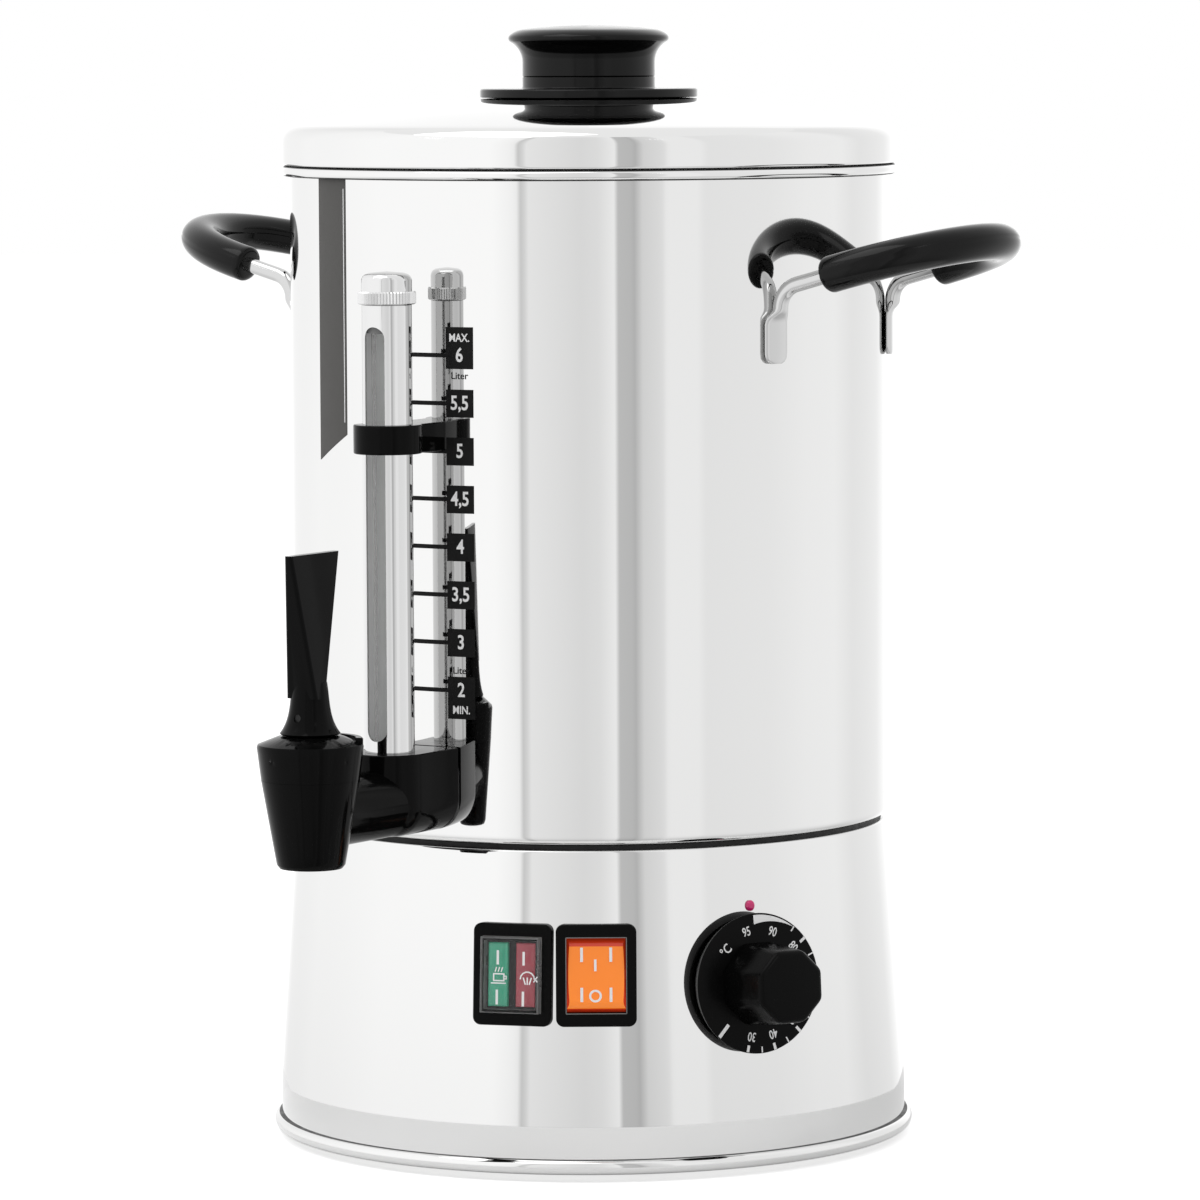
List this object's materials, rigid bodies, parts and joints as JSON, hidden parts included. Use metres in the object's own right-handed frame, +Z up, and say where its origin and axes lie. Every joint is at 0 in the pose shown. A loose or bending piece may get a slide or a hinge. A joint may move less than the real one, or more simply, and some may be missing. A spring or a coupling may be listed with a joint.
{
  "type": "hot water urn",
  "caption": "Upright stainless hot water urn with lid, side handles, level gauge, lever tap, dial thermostat and lit switch panel on a flared base.",
  "frame": {"origin": "on the tank's axis, in the plane that the rubber feet stand on; it lies 2 mm under the mount named underside", "axes": "+Z up along the tank's axis; -Y points to the front, where the tap is; +X points to the side where the switch and dial are"},
  "size_m": [0.3158, 0.302, 0.3717],
  "materials": {
    "polished_steel": "polished stainless steel",
    "satin_steel": "satin stainless steel",
    "steel_hardware": "bright turned steel",
    "cast_aluminium": "cast",
    "element_sheath": "heat-tinted sheath",
    "black_insulation": "moulded phenolic",
    "white_insulation": "moulded",
    "copper": "copper",
    "brass": "stamped",
    "red_plastic": "gloss",
    "black_phenolic": "glossy moulded phenolic",
    "black_plastic": "glossy moulded plastic",
    "black_satin_plastic": "semi-gloss moulded plastic",
    "orange_rocker": "translucent orange, lit from inside when on",
    "black_steel": "blackened steel",
    "clear_plastic": "clear",
    "green_lens": "translucent",
    "red_lens": "translucent",
    "lamp_glass": "clear",
    "glass": "clear tube",
    "silicone": "moulded silicone",
    "black_rubber": "moulded",
    "brown_wire": "insulated",
    "blue_wire": "insulated",
    "green_wire": "green and yellow insulation"
  },
  "bodies": {
    "urn": {"base_brackets": "satin_steel", "base_plate": "satin_steel", "base_screws": "steel_hardware", "base_shell": "polished_steel", "cable_gland": "black_satin_plastic", "cutout_screws": "steel_hardware", "gauge_cap": "polished_steel", "gauge_clamp": "black_plastic", "gauge_glass": "glass", "gauge_seals": "silicone", "gauge_shield": "polished_steel", "gland_cap": "black_satin_plastic", "gland_nut": "black_satin_plastic", "handle_bow_left": "satin_steel", "handle_bow_right": "satin_steel", "handle_grip_left": "black_phenolic", "handle_grip_right": "black_phenolic", "heater_plate": "cast_aluminium", "heating_element": "element_sheath", "index_stud": "red_plastic", "indicator_cover": "clear_plastic", "indicator_green_lens": "green_lens", "indicator_housing": "black_satin_plastic", "indicator_red_lens": "red_lens", "neck_ring": "black_steel", "neon_lamps": "lamp_glass", "rubber_feet": "black_rubber", "spade_terminals": "brass", "switch_housing": "black_satin_plastic", "tank_floor": "satin_steel", "tank_shell": "polished_steel", "tap_body": "black_plastic", "tap_bonnet": "black_plastic", "tap_gasket_inner": "silicone", "tap_gasket_outer": "black_rubber", "tap_nut": "black_plastic", "terminal_block": "white_insulation", "thermal_cutout": "black_insulation", "thermostat_body": "black_insulation", "thermostat_bulb": "copper", "thermostat_screws": "steel_hardware", "valve_spring": "steel_hardware", "wiring_earth": "green_wire", "wiring_live": "brown_wire", "wiring_neutral": "blue_wire"},
    "lid": {"lid_shell": "polished_steel", "lid_collar": "satin_steel", "knob_flange": "black_phenolic", "lid_knob": "black_phenolic", "knob_washer": "steel_hardware", "knob_screw": "steel_hardware"},
    "dial": {"thermostat_knob": "black_phenolic", "thermostat_shaft": "steel_hardware"},
    "rocker": {"switch_rocker": "orange_rocker"},
    "valve": {"valve_stem": "steel_hardware", "seat_cup": "silicone"},
    "lever": {"tap_lever": "black_plastic", "lever_pin": "black_steel"}
  },
  "joints": [
    {"name": "lid_lift", "type": "slide", "parent": "urn", "child": "lid", "axis": [0, 0, 1], "range_m": [0, 0.1]},
    {"name": "dial_turn", "type": "hinge", "parent": "urn", "child": "dial", "pos_m": [0.09044, -0.04748, 0.0624], "axis": [0.8835, -0.4638, 0.0662], "range_deg": [-8, 225]},
    {"name": "rocker_tilt", "type": "hinge", "parent": "urn", "child": "rocker", "pos_m": [0.05373, -0.08274, 0.06669], "axis": [0.8387, 0.5446, 0], "range_deg": [0, 16]},
    {"name": "stem_lift", "type": "slide", "parent": "urn", "child": "valve", "axis": [0, 0, 1], "range_m": [0, 0.0045], "stiffness_N_per_m": 600, "springref_m": -0.002, "deforming": ["valve_spring"]},
    {"name": "lever_tilt", "type": "hinge", "parent": "valve", "child": "lever", "pos_m": [0, -0.1655, 0.155], "axis": [0, 1, 0], "range_deg": [0, 28]}
  ],
  "couplings": [
    {"joint": "lever_tilt", "follows": "stem_lift", "rad_per_m": 108.5}
  ]
}
